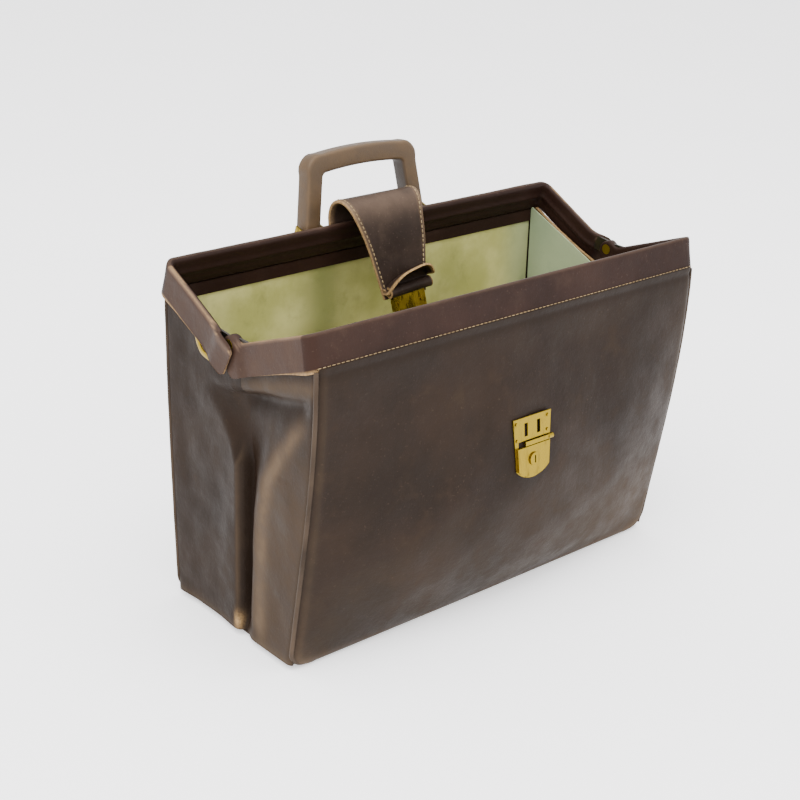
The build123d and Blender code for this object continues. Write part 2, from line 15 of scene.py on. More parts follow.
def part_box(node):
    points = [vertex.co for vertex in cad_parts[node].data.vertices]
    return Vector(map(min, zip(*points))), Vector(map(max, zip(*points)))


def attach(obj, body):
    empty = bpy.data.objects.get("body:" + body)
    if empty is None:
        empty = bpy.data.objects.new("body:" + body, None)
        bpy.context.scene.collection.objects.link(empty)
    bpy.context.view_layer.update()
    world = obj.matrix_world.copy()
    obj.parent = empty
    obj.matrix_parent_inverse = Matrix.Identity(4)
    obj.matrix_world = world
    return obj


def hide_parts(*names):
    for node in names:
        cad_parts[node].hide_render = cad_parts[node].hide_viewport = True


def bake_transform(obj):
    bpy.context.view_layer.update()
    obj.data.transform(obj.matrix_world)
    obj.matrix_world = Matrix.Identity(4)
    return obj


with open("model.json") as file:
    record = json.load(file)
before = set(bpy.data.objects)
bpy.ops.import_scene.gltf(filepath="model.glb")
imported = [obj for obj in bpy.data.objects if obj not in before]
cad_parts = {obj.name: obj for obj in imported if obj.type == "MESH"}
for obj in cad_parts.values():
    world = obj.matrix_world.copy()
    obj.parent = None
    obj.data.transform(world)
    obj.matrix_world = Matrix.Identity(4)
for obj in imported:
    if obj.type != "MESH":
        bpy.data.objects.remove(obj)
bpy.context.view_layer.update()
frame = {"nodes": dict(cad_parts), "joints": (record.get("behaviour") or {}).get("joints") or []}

MM = 0.001

# Dimensions, most of them those of the CAD model
HINGE = 1000 * np.array([j["pos_m"] for j in frame["joints"] if j["name"] == "rear_frame_fold"][0])
OPENING = {"rear": 63.2, "front": 68.5}
FACING = {"rear": 1, "front": -1}
HALF_LENGTH = {"rear": 209.5, "front": 207.0}
ARM_LENGTH = 98.0
CROWN = math.tan(math.radians(10))
PARTING = 0.5
BAND_DEPTH = 25.0
BAND = 6.0
BAND_FOOT = {"rear": -8.2, "front": -9.0}
STRIP_X = 205.2
BINDING_X = 201.6
CORNER = 10.0
BASE_HALF_LENGTH = 201.0
BASE_HALF_DEPTH = 76.5
BASE_Z = 2.5
PANEL_TOP = {"rear": (86.6, 267.5), "front": (-103.8, 258.7)}
BELLY_Z = (95.0, 200.0)
BELLY_MIDDLE = {"rear": (7.0, 5.0), "front": (31.0, 12.0)}
BELLY_END = {"rear": (2.0, 2.0), "front": (4.0, 5.0)}
FOOT_RADIUS = 15.0
LINING_HALF_LENGTH = 195.0
LOCK_Z = 151.0
LEATHER = 2.5
HANDLE_X = 0.5
STRAP_X = 4.0
END_NAME = {-1: "left", 1: "right"}

# Colours, linear
UMBER_DARK = (0.0098, 0.0056, 0.0034)
UMBER = (0.0158, 0.0090, 0.0052)
# Lighter tan of rubbed places, also used for painted highlights on the bag's hide
RUBBED_AND_HIGHLIGHT = (0.070, 0.047, 0.029)
RUSSET_DARK = (0.0125, 0.0058, 0.0040)
RUSSET = (0.0215, 0.0102, 0.0070)
RUSSET_RUBBED = (0.090, 0.058, 0.041)
STRAP_DARK = (0.0125, 0.0075, 0.0052)
STRAP_BROWN = (0.031, 0.0192, 0.0138)
STRAP_RUBBED = (0.125, 0.086, 0.062)
PIPING_DARK = (0.013, 0.0085, 0.0055)
PIPING_BROWN = (0.032, 0.021, 0.014)
PIPING_RUBBED = (0.100, 0.070, 0.047)
RAW_EDGE = (0.30, 0.185, 0.080)
LINING_GREEN = (0.29, 0.285, 0.085)
LINING_PALE = (0.46, 0.43, 0.165)
# Greenish colour of stains, also used for painted shade on the lining
LINING_STAIN_AND_SHADE = (0.115, 0.125, 0.034)
# Teal of painted shade on the lining
LINING_SHADE_TEAL = (0.17, 0.24, 0.17)
BRASS = (0.225, 0.155, 0.013)
TARNISH = (0.105, 0.070, 0.007)
STEEL = (0.055, 0.047, 0.040)
THREAD = (0.25, 0.175, 0.085)
HANDLE_BROWN = (0.046, 0.0265, 0.0115)
HANDLE_RUBBED = (0.12, 0.075, 0.040)
BOARD = (0.35, 0.27, 0.18)
PAPER_WHITE = (0.86, 0.855, 0.865)


# Shape helpers ----------------------------------------------------------------------------


def smooth(value, low, high):
    """0 below low, 1 above high, and an even rise between them."""
    t = np.clip((np.asarray(value, float) - low) / (high - low), 0, 1)
    return t * t * (3 - 2 * t)


def bell(value, width):
    """1 at nought, falling away on both sides."""
    return np.exp(-((np.asarray(value, float) / width) ** 2))


def ripple(points, size, seed=0.0):
    """Soft random field over points, with features about size millimetres across."""
    flat = points.reshape(-1, 3) / size
    values = [noise.noise(Vector((p[0] + seed, p[1] - seed, p[2] + 2 * seed))) for p in flat]
    return np.array(values).reshape(points.shape[:-1])


def read_off(table, value):
    """Value of a table of pairs, with straight stretches between them."""
    places, amounts = zip(*table)
    return np.interp(value, places, amounts)


def heading(line, k):
    """Direction of a line of points at its k-th one."""
    ahead = line[min(k + 1, len(line) - 1)] - line[max(k - 1, 0)]
    return ahead / np.linalg.norm(ahead)


def turned(flip, grid):
    """Grid with its columns in the other order, if asked."""
    return grid[:, ::-1] if flip else grid


def stack(x, y, z):
    """Three arrays of one shape as points."""
    return np.stack(np.broadcast_arrays(x, y, z), axis=-1).astype(float)


def grid_faces(rows, columns, start=0, closed=False):
    """Quads of a grid of points, joined round its columns when closed."""
    faces = []
    for r in range(rows - 1):
        for c in range(columns if closed else columns - 1):
            after = (c + 1) % columns
            low = start + r * columns
            faces.append((low + c, low + after, low + columns + after, low + columns + c))
    return faces


def make_mesh(name, points, faces, material, paint, sharp):
    """Mesh object in metres, with its resting places and painted amounts stored on its points."""
    points = np.asarray(points, float).reshape(-1, 3) * MM
    mesh = bpy.data.meshes.new(name)
    mesh.from_pydata(points.tolist(), [], faces)
    mesh.polygons.foreach_set("use_smooth", [True] * len(mesh.polygons))
    rest = mesh.attributes.new("rest", "FLOAT_VECTOR", "POINT")
    rest.data.foreach_set("vector", points.ravel())
    # The amount for rubbed places also holds painted highlights and painted shade; the amount for stains also
    # holds painted shade; raw holds tan raw edges.
    for key in ("wear_and_painted_light", "raw", "stain_and_painted_shade"):
        amount = mesh.attributes.new(key, "FLOAT", "POINT")
        values = np.zeros(len(points)) if key not in paint else np.asarray(paint[key], float).ravel()
        amount.data.foreach_set("value", values)
    mesh.set_sharp_from_angle(angle=math.radians(sharp))
    mesh.materials.append(material)
    obj = bpy.data.objects.new(name, mesh)
    bpy.context.scene.collection.objects.link(obj)
    return obj


def ring_mesh(name, rings, material, paint=None, sharp=50):
    """Closed tube through rings of points, with flat ends."""
    rings = np.asarray(rings, float)
    rows, columns = rings.shape[:2]
    faces = grid_faces(rows, columns, closed=True)
    faces.append(tuple(range(columns))[::-1])
    faces.append(tuple((rows - 1) * columns + c for c in range(columns)))
    return outward(make_mesh(name, rings, faces, material, paint or {}, sharp))


def outward(obj):
    """Turns a closed mesh inside out if its normals point inwards."""
    mesh = obj.data
    volume = 0.0
    for face in mesh.polygons:
        volume += face.center.dot(face.normal) * face.area
    if volume < 0:
        mesh.flip_normals()
    return obj


def sheet_mesh(name, outer, thickness, material, paint):
    """Closed sheet: a grid of points, a copy moved back by the thickness, and the rim."""
    rows, columns = outer.shape[:2]
    along = np.gradient(outer, axis=0)
    across = np.gradient(outer, axis=1)
    normal = np.cross(along, across)
    normal /= np.linalg.norm(normal, axis=-1, keepdims=True) + 1e-12
    inner = outer - normal * thickness
    count = rows * columns
    faces = grid_faces(rows, columns)
    faces += [tuple(i + count for i in face[::-1]) for face in grid_faces(rows, columns)]
    rim = [(0, c) for c in range(columns)]
    rim += [(r, columns - 1) for r in range(1, rows)]
    rim += [(rows - 1, c) for c in range(columns - 2, -1, -1)]
    rim += [(r, 0) for r in range(rows - 2, 0, -1)]
    ids = [r * columns + c for r, c in rim]
    for a, b in zip(ids, ids[1:] + ids[:1]):
        faces.append((b, a, a + count, b + count))
    doubled = {k: np.concatenate([np.ravel(v), np.ravel(v)]) for k, v in paint.items()}
    points = np.concatenate([outer.reshape(-1, 3), inner.reshape(-1, 3)])
    return outward(make_mesh(name, points, faces, material, doubled, 50))


def stitch_mesh(name, centres, directions, length, radius, material):
    """Row of short rounded stitches."""
    points = []
    faces = []
    sides = 6
    profile = ((-0.5, 0.35), (-0.38, 0.9), (0.0, 1.0), (0.38, 0.9), (0.5, 0.35))
    for centre, direction in zip(centres, directions):
        along = Vector(direction).normalized()
        aside = along.orthogonal().normalized()
        third = along.cross(aside)
        start = len(points)
        for share, swell in profile:
            for k in range(sides):
                turn = 2 * math.pi * k / sides
                offset = aside * math.cos(turn) + third * math.sin(turn)
                points.append(Vector(centre) + along * share * length + offset * radius * swell)
        faces += grid_faces(len(profile), sides, start, closed=True)
        faces.append(tuple(start + k for k in range(sides))[::-1])
        last = start + (len(profile) - 1) * sides
        faces.append(tuple(last + k for k in range(sides)))
    return make_mesh(name, np.array([tuple(p) for p in points]), faces, material, {}, 60)


def even_points(line, pitch):
    """Points and directions at an even pitch along a line of points."""
    line = np.asarray(line, float)
    steps = np.linalg.norm(np.diff(line, axis=0), axis=1)
    reach = np.concatenate([[0], np.cumsum(steps)])
    marks = np.arange(pitch, reach[-1] - pitch / 2, pitch)
    places = np.stack([np.interp(marks, reach, line[:, k]) for k in range(3)], axis=1)
    ahead = np.stack([np.interp(marks + pitch / 4, reach, line[:, k]) for k in range(3)], axis=1)
    return places, ahead - places


def curve_through(points, steps):
    """Smooth line through points, with steps to each stretch."""
    points = [np.array(p, float) for p in points]
    padded = [2 * points[0] - points[1], *points, 2 * points[-1] - points[-2]]
    line = []
    for k in range(len(points) - 1):
        a, b, c, d = padded[k : k + 4]
        for t in np.linspace(0, 1, steps, endpoint=False):
            line.append(
                0.5
                * (2 * b + (c - a) * t + (2 * a - 5 * b + 4 * c - d) * t**2 + (3 * b - a - 3 * c + d) * t**3)
            )
    line.append(points[-1])
    return np.array(line)


def bend(obj):
    """Bakes obj's placing into its mesh; obj is left on no body."""
    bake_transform(obj)


# Materials --------------------------------------------------------------------------------


class Finish:
    """Node tree of one material, ending in its Principled shader."""

    def __init__(self, name, from_attribute=True, **values):
        self.material = bpy.data.materials.new(name)
        self.material.use_nodes = True
        self.tree = self.material.node_tree
        self.shader = self.tree.nodes["Principled BSDF"]
        for key, value in values.items():
            self.shader.inputs[key.replace("_", " ").title().replace("Ior", "IOR")].default_value = value
        if from_attribute:
            source = self.node("ShaderNodeAttribute", attribute_name="rest")
            self.place = source.outputs["Vector"]
        else:
            self.place = self.node("ShaderNodeTexCoord").outputs["Object"]

    def node(self, kind, inputs=None, **settings):
        node = self.tree.nodes.new(kind)
        for key, value in settings.items():
            setattr(node, key, value)
        for key, value in (inputs or {}).items():
            self.put(node.inputs[key], value)
        return node

    def put(self, socket, value):
        if isinstance(value, bpy.types.NodeSocket):
            self.tree.links.new(value, socket)
        elif isinstance(value, tuple) and len(value) == 3 and socket.type == "RGBA":
            socket.default_value = (*value, 1)
        else:
            socket.default_value = value

    def stretched(self, scale):
        return self.node("ShaderNodeMapping", {"Vector": self.place, "Scale": scale}).outputs["Vector"]

    def clouds(self, scale, detail=4.0, rough=0.55, stretch=None):
        place = self.stretched(stretch) if stretch else self.place
        inputs = {"Vector": place, "Scale": scale, "Detail": detail, "Roughness": rough}
        return self.node("ShaderNodeTexNoise", inputs).outputs["Fac"]

    def cells(self, scale):
        return self.node("ShaderNodeTexVoronoi", {"Vector": self.place, "Scale": scale}).outputs["Distance"]

    def painted(self, name):
        return self.node("ShaderNodeAttribute", attribute_name=name).outputs["Fac"]

    def ranged(self, value, low, high, out_low=0.0, out_high=1.0):
        inputs = {"Value": value, "From Min": low, "From Max": high, "To Min": out_low, "To Max": out_high}
        return self.node("ShaderNodeMapRange", inputs, interpolation_type="SMOOTHSTEP").outputs["Result"]

    def combined(self, operation, a, b):
        return self.node("ShaderNodeMath", {0: a, 1: b}, operation=operation, use_clamp=True).outputs[0]

    def plus(self, a, b):
        return self.combined("ADD", a, b)

    def times(self, a, b):
        return self.combined("MULTIPLY", a, b)

    def mix(self, share, a, b):
        return self.node("ShaderNodeMix", {0: share, 6: a, 7: b}, data_type="RGBA").outputs[2]

    def bump(self, height, depth, under=None):
        inputs = {"Height": height, "Distance": depth * MM, "Strength": 1.0}
        if under is not None:
            inputs["Normal"] = under
        return self.node("ShaderNodeBump", inputs).outputs["Normal"]

    def end(self, colour, rough, normal):
        for key, value in (("Base Color", colour), ("Roughness", rough), ("Normal", normal)):
            self.put(self.shader.inputs[key], value)
        return self.material


def leather(name, dark, body, rubbed, gloss=0.40):
    """Smooth hide with clouded dye, fine scuffs, rubbed places, tan raw edges, and the painted highlights and
    painted shade of its painted amounts.
    """
    f = Finish(name, specular_ior_level=0.07)
    broad = f.clouds(9, 6, 0.6)
    patches = f.clouds(42, 5, 0.6)
    colour = f.mix(f.ranged(broad, 0.36, 0.66), dark, body)
    colour = f.mix(f.times(f.ranged(patches, 0.52, 0.80), 0.13), colour, rubbed)
    scuffs = f.clouds(95, 4, 0.6, (1.0, 1.0, 0.35))
    specks = f.clouds(520, 2, 0.5)
    colour = f.mix(f.times(f.ranged(scuffs, 0.64, 0.80), 0.10), colour, rubbed)
    colour = f.mix(f.times(f.ranged(specks, 0.64, 0.76), 0.22), colour, rubbed)
    # Rubbed places, and on the bag's hide also painted highlights and sheen, turn towards the rubbed colour
    worn = f.times(f.painted("wear_and_painted_light"), f.ranged(patches, 0.25, 0.65, 0.55, 1.1))
    colour = f.mix(worn, colour, rubbed)
    # Stains and painted shade turn towards the dark colour
    colour = f.mix(f.times(f.painted("stain_and_painted_shade"), 0.75), colour, dark)
    frayed = f.times(f.painted("raw"), f.ranged(specks, 0.30, 0.62, 0.55, 1.0))
    colour = f.mix(frayed, colour, RAW_EDGE)
    rough = f.ranged(f.plus(patches, f.times(worn, 0.35)), 0.3, 0.9, gloss, gloss + 0.26)
    pores = f.ranged(f.cells(900), 0.05, 0.5)
    normal = f.bump(f.clouds(75, 4, 0.6), 0.55)
    normal = f.bump(scuffs, 0.12, normal)
    normal = f.bump(pores, 0.05, normal)
    return f.end(colour, rough, normal)


def lining_cloth():
    """Coated cloth: fine weave, faded patches, greenish stains, painted shade and a painted teal shade."""
    f = Finish("lining_cloth", specular_ior_level=0.4)
    fade = f.clouds(11, 5, 0.6)
    colour = f.mix(f.ranged(fade, 0.36, 0.62), LINING_GREEN, LINING_PALE)
    colour = f.mix(f.times(f.ranged(f.clouds(38, 5, 0.65), 0.54, 0.76), 0.38), colour, LINING_STAIN_AND_SHADE)
    # Painted shadow beside the strap and a darker bottom turn towards the dark greenish colour
    colour = f.mix(f.painted("stain_and_painted_shade"), colour, LINING_STAIN_AND_SHADE)
    # Painted teal shade where the lining lies in shade
    colour = f.mix(f.painted("wear_and_painted_light"), colour, LINING_SHADE_TEAL)
    threads = f.plus(f.clouds(700, 1, 0.5, (1.0, 1.0, 0.12)), f.clouds(700, 1, 0.5, (0.12, 0.12, 1.0)))
    normal = f.bump(threads, 0.10, f.bump(f.clouds(60, 4, 0.6), 0.5))
    return f.end(colour, f.ranged(fade, 0.3, 0.7, 0.42, 0.62), normal)


def brass(name, tarnished, gloss):
    """Stamped brass with scratches, dents and brown tarnish."""
    f = Finish(name, from_attribute=False, metallic=1.0)
    film = f.clouds(170, 5, 0.65, (1.0, 1.0, 0.22))
    colour = f.mix(f.ranged(film, 0.54 - tarnished, 0.78), BRASS, TARNISH)
    lines = f.clouds(900, 2, 0.5, (1.0, 1.0, 0.06))
    colour = f.mix(f.times(f.ranged(lines, 0.58, 0.72), 0.35), colour, BRASS)
    rough = f.ranged(film, 0.35, 0.75, gloss, gloss + 0.32)
    normal = f.bump(lines, 0.03, f.bump(f.clouds(260, 3, 0.5), 0.12))
    return f.end(colour, rough, normal)


def steel():
    """Blackened sprung steel, lightly brushed."""
    f = Finish("frame_steel", from_attribute=False, metallic=1.0)
    film = f.clouds(120, 4, 0.6)
    colour = f.mix(f.ranged(film, 0.4, 0.7), STEEL, tuple(0.6 * c for c in STEEL))
    rough = f.ranged(film, 0.3, 0.7, 0.35, 0.55)
    return f.end(colour, rough, f.bump(f.clouds(700, 2, 0.5, (0.05, 1, 1)), 0.03))


def moulded():
    """Moulded handle: brown plastic with a faint pebble grain, rubbed corners and painted shade on its inner
    side.
    """
    f = Finish("moulded_handle", specular_ior_level=0.25)
    tone = f.clouds(60, 5, 0.6)
    colour = f.mix(f.ranged(tone, 0.35, 0.68), HANDLE_BROWN, tuple(1.35 * c for c in HANDLE_BROWN))
    # Painted shade on the grip's inner side
    colour = f.mix(f.times(f.painted("stain_and_painted_shade"), 0.8), colour, UMBER_DARK)
    colour = f.mix(f.times(f.painted("wear_and_painted_light"), 0.6), colour, HANDLE_RUBBED)
    normal = f.bump(f.ranged(f.cells(750), 0.05, 0.55), 0.09, f.bump(f.clouds(140, 3, 0.6), 0.15))
    return f.end(colour, f.ranged(tone, 0.3, 0.7, 0.44, 0.60), normal)


def thread():
    """Waxed linen thread."""
    f = Finish("linen_thread", specular_ior_level=0.3)
    tone = f.clouds(400, 3, 0.6)
    colour = f.mix(f.ranged(tone, 0.35, 0.65), THREAD, tuple(0.55 * c for c in THREAD))
    return f.end(colour, f.ranged(tone, 0.3, 0.7, 0.6, 0.8), f.bump(f.clouds(1800, 2, 0.5), 0.06))


def pressed_board():
    """Grey-brown pressed board."""
    f = Finish("pressed_board", from_attribute=False, specular_ior_level=0.2)
    tone = f.clouds(300, 5, 0.7)
    colour = f.mix(f.ranged(tone, 0.4, 0.65), BOARD, tuple(0.7 * c for c in BOARD))
    return f.end(colour, f.ranged(tone, 0.3, 0.7, 0.8, 0.95), f.bump(tone, 0.1))


def studio_white(name, rough):
    """Matt white paper of the floor."""
    f = Finish(name, from_attribute=False, specular_ior_level=0.1, emission_strength=0.7)
    tone = f.clouds(3, 3, 0.5)
    colour = f.mix(f.ranged(tone, 0.3, 0.7), PAPER_WHITE, tuple(0.985 * c for c in PAPER_WHITE))
    return f.end(colour, rough, f.bump(f.clouds(120, 3, 0.6), 0.05))


HIDE = leather("bag_leather", UMBER_DARK, UMBER, RUBBED_AND_HIGHLIGHT)
FRAME_HIDE = leather("frame_leather", RUSSET_DARK, RUSSET, RUSSET_RUBBED, 0.38)
STRAP_HIDE = leather("strap_leather", STRAP_DARK, STRAP_BROWN, STRAP_RUBBED, 0.42)
PIPING = leather("piping_leather", PIPING_DARK, PIPING_BROWN, PIPING_RUBBED, 0.36)
CLOTH = lining_cloth()
BRIGHT_BRASS = brass("bright_brass", 0.02, 0.22)
OLD_BRASS = brass("old_brass", 0.12, 0.30)
IRON = steel()
PLASTIC = moulded()
LINEN = thread()
CARD = pressed_board()


# Folding frame ----------------------------------------------------------------------------


def opened(side, x, depth, height):
    """Place at rest of a point of a half frame that is drawn shut, its arms standing up."""
    turn = math.radians(OPENING[side])
    y = HINGE[1] + FACING[side] * (depth * math.cos(turn) + height * math.sin(turn))
    z = HINGE[2] - depth * math.sin(turn) + height * math.cos(turn)
    return stack(x, y, z)


def band_outline():
    """Section of a half frame's cover: depth from the parting plane and inset, round the loop."""
    low = PARTING + BAND_DEPTH
    lip = low + 3.2
    outer = [(1.6, 0.35), (3.2, 0.05), (5.0, 0.0), (9.0, 0.15), (14.0, 0.2), (19.0, 0.1), (23.0, 0.0)]
    outer += [(low, 0.0), (lip - 0.6, -0.1), (lip, 0.25)]
    under = [(lip, 0.95), (lip - 0.6, 1.25), (low + 0.2, 1.3), (low, 1.5), (low, 3.4), (low - 0.3, 5.2)]
    inner = [(low - 1.2, BAND), (19.0, BAND - 0.2), (15.2, BAND - 0.1), (14.2, BAND + 0.75)]
    inner += [(12.0, BAND + 0.8), (11.0, BAND - 0.1), (7.0, BAND - 0.1), (3.2, BAND), (1.5, BAND - 0.5)]
    rim = [(0.7, BAND - 1.7), (0.5, 3.0), (0.75, 1.4)]
    return np.array(outer + under + inner + rim), len(outer)


def band_station(side, kind, end, share, depth, inset, foot):
    """Points of one section of a cover: on an arm, round a corner or on the rail."""
    half = HALF_LENGTH[side] - inset
    top = ARM_LENGTH - (depth - PARTING) * CROWN - inset
    radius = CORNER - np.minimum(inset, CORNER - 1)
    if kind == "arm":
        return end * half, foot + share * (top - radius - foot)
    if kind == "corner":
        turn = share * math.pi / 2
        return end * (half - radius + radius * math.cos(turn)), top - radius + radius * math.sin(turn)
    return share * (half - radius), top


def band_stations():
    """Stations from one hinge round the frame to the other: kind, end and share."""
    arm = [("arm", t) for t in np.concatenate([np.linspace(0, 0.30, 13), np.linspace(0.36, 1, 12)])]
    corner = [("corner", t) for t in np.linspace(0, 1, 12)[1:]]
    left = [(kind, -1, t) for kind, t in arm + corner]
    right = [(kind, 1, t) for kind, t in arm + corner][::-1]
    rail = [("rail", 0, t) for t in np.linspace(-1, 1, 72)[1:-1]]
    return left + rail + right


def round_hinge(depth, inset, height):
    """Front cover's section near the hinge: it grows round the pin's head and has a rounded end."""
    near = 1 - float(smooth(height, 3, 13))
    top = PARTING - 7.8 * near
    low = PARTING + BAND_DEPTH
    depth = np.where(depth < low, top + (depth - PARTING) * (low - top) / BAND_DEPTH, depth)
    pinch = 1 - math.sqrt(max(0.02, 1 - min(1.0, max(0.0, -1.0 - height) / 8.2) ** 2))
    middle = (top + low) / 2
    depth = middle + (depth - middle) * (1 - 0.55 * pinch)
    return depth, np.where(inset < 3, inset - 2.7 * near, inset)


def arm_end(depth, inset, height):
    """Rear cover's section near the hinge: only its outer layer goes on, over the pin's head."""
    near = 1 - float(smooth(height, 6, 26))
    thin = 1 - float(smooth(height, 10, 14))
    low = PARTING + BAND_DEPTH
    depth = depth - 4.2 * near * (1 - np.minimum(depth, low) / low)
    pinch = 1 - math.sqrt(max(0.02, 1 - min(1.0, max(0.0, -1.0 - height) / 7.6) ** 2))
    middle = (low - 3.5 * near) / 2
    depth = middle + (depth - middle) * (1 - 0.40 * pinch)
    skin = np.where(inset < 1.28, inset, 1.6 + (1 - thin) * (inset - 1.6))
    return depth, skin - 3.6 * near


def frame_cover(side):
    """Leather wrapped round a half frame, with a lip over the panel, worn arrises and painted shade on its
    inner faces.
    """
    outline, outer_count = band_outline()
    rings = []
    wear_and_painted_light = []
    raw = []
    stain_and_painted_shade = []
    for kind, end, share in band_stations():
        depth, inset = outline[:, 0], outline[:, 1]
        x, height = band_station(side, kind, end, share, depth, inset, BAND_FOOT[side])
        ring = opened(side, x, depth, height)
        inset = inset + 0.35 * ripple(ring, 26.0, 3.0) + 0.15 * ripple(ring, 8.0, 5.0)
        if kind == "arm":
            depth = np.minimum(depth, PARTING + BAND_DEPTH + 3.2 * share**4)
        if side == "front" and kind == "arm":
            depth, inset = round_hinge(depth, inset, float(np.mean(height)))
        if side == "rear" and kind == "arm":
            depth, inset = arm_end(depth, inset, float(np.mean(height)))
        x, height = band_station(side, kind, end, share, depth, inset, BAND_FOOT[side])
        rings.append(opened(side, x, depth, height))
        arris = bell(depth - 1.0, 1.3) * (inset < 4.0)
        lip = (np.arange(len(depth)) >= outer_count - 2) & (np.arange(len(depth)) < outer_count + 2)
        on_arm = 1.0 if kind == "arm" else 0.35
        wear_and_painted_light.append(np.clip(0.9 * arris * on_arm + 0.22 * (kind == "arm") * (inset < 1), 0, 1))
        raw.append(0.85 * lip + 0.45 * bell(depth - 0.6, 0.5) * (kind == "arm") * (inset < 3.0))
        # Painted shade on the cover's inner faces, inside the mouth
        stain_and_painted_shade.append(0.85 * (inset > 4.5) * np.ones(len(depth)))
    cover = ring_mesh(f"{side}_band", rings, FRAME_HIDE, {"wear_and_painted_light": wear_and_painted_light, "raw": raw, "stain_and_painted_shade": stain_and_painted_shade}, 60)
    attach(cover, f"{side}_frame")
    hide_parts(f"{side}_frame_cover")


def band_stitches(side):
    """Thread along the lip where the cover is sewn to its panel."""
    line = []
    for kind, end, share in band_stations():
        if kind == "rail" or (kind == "corner" and share > 0.5):
            x, height = band_station(side, kind, end, share, PARTING + BAND_DEPTH + 0.4, -0.15, 18.0)
            line.append(opened(side, x, PARTING + BAND_DEPTH + 0.4, height))
    places, along = even_points(np.array(line), 4.2)
    row = stitch_mesh(f"{side}_band_stitches", places, along, 2.9, 0.42, LINEN)
    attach(row, f"{side}_frame")


def hinge_strip(end):
    """Brass strip that comes out from under a rear arm and turns in below the hinge."""
    route = [(41, 26.0), (36, 31.5), (29, 35.0), (22, 34.0), (12, 31.0), (4, 28.5)]
    line = curve_through(route, 6)
    rings = []
    for k, (height, depth) in enumerate(line):
        ahead = heading(line, k)
        aside = np.array([-ahead[1], ahead[0]])
        ring = []
        for turn in np.linspace(0, 2 * math.pi, 12, endpoint=False):
            wide = 2.3 * math.copysign(abs(math.cos(turn)) ** 0.6, math.cos(turn))
            thick = 0.8 * math.copysign(abs(math.sin(turn)) ** 0.6, math.sin(turn))
            h, d = height + aside[0] * wide, depth + aside[1] * wide
            ring.append(opened("rear", end * (STRIP_X + thick), d, h))
        rings.append(ring)
    strip = ring_mesh(f"{END_NAME[end]}_hinge_strip", rings, BRIGHT_BRASS)
    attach(strip, "rear_frame")


# Panels -----------------------------------------------------------------------------------


def belly_at(side, x, z, top):
    """How far a panel bellies out: a cubic up its height, and an arc along its length."""
    knots = (BASE_Z, *BELLY_Z, top)
    total = 0.0
    across = np.clip(1 - (np.asarray(x, float) / BASE_HALF_LENGTH) ** 2, 0, 1)
    for k, (middle, end) in enumerate(zip(BELLY_MIDDLE[side], BELLY_END[side]), start=1):
        share = 1.0
        for m, knot in enumerate(knots):
            if m != k:
                share = share * (z - knot) / (knots[k] - knot)
        total = total + share * (end + (middle - end) * across)
    return total


def panel_y(side, x, z):
    """Depth of a panel's outer face."""
    top_y, top_z = PANEL_TOP[side]
    share = (z - BASE_Z) / (top_z - BASE_Z)
    chord = FACING[side] * BASE_HALF_DEPTH * (1 - share) + top_y * share
    return chord + FACING[side] * belly_at(side, x, z, top_z)


def end_reach(z):
    """Half length of a panel at a height, with its lower corners rounded."""
    low = np.clip(FOOT_RADIUS - (z - BASE_Z), 0, FOOT_RADIUS)
    return BASE_HALF_LENGTH - FOOT_RADIUS + np.sqrt(np.maximum(FOOT_RADIUS**2 - low**2, 0))


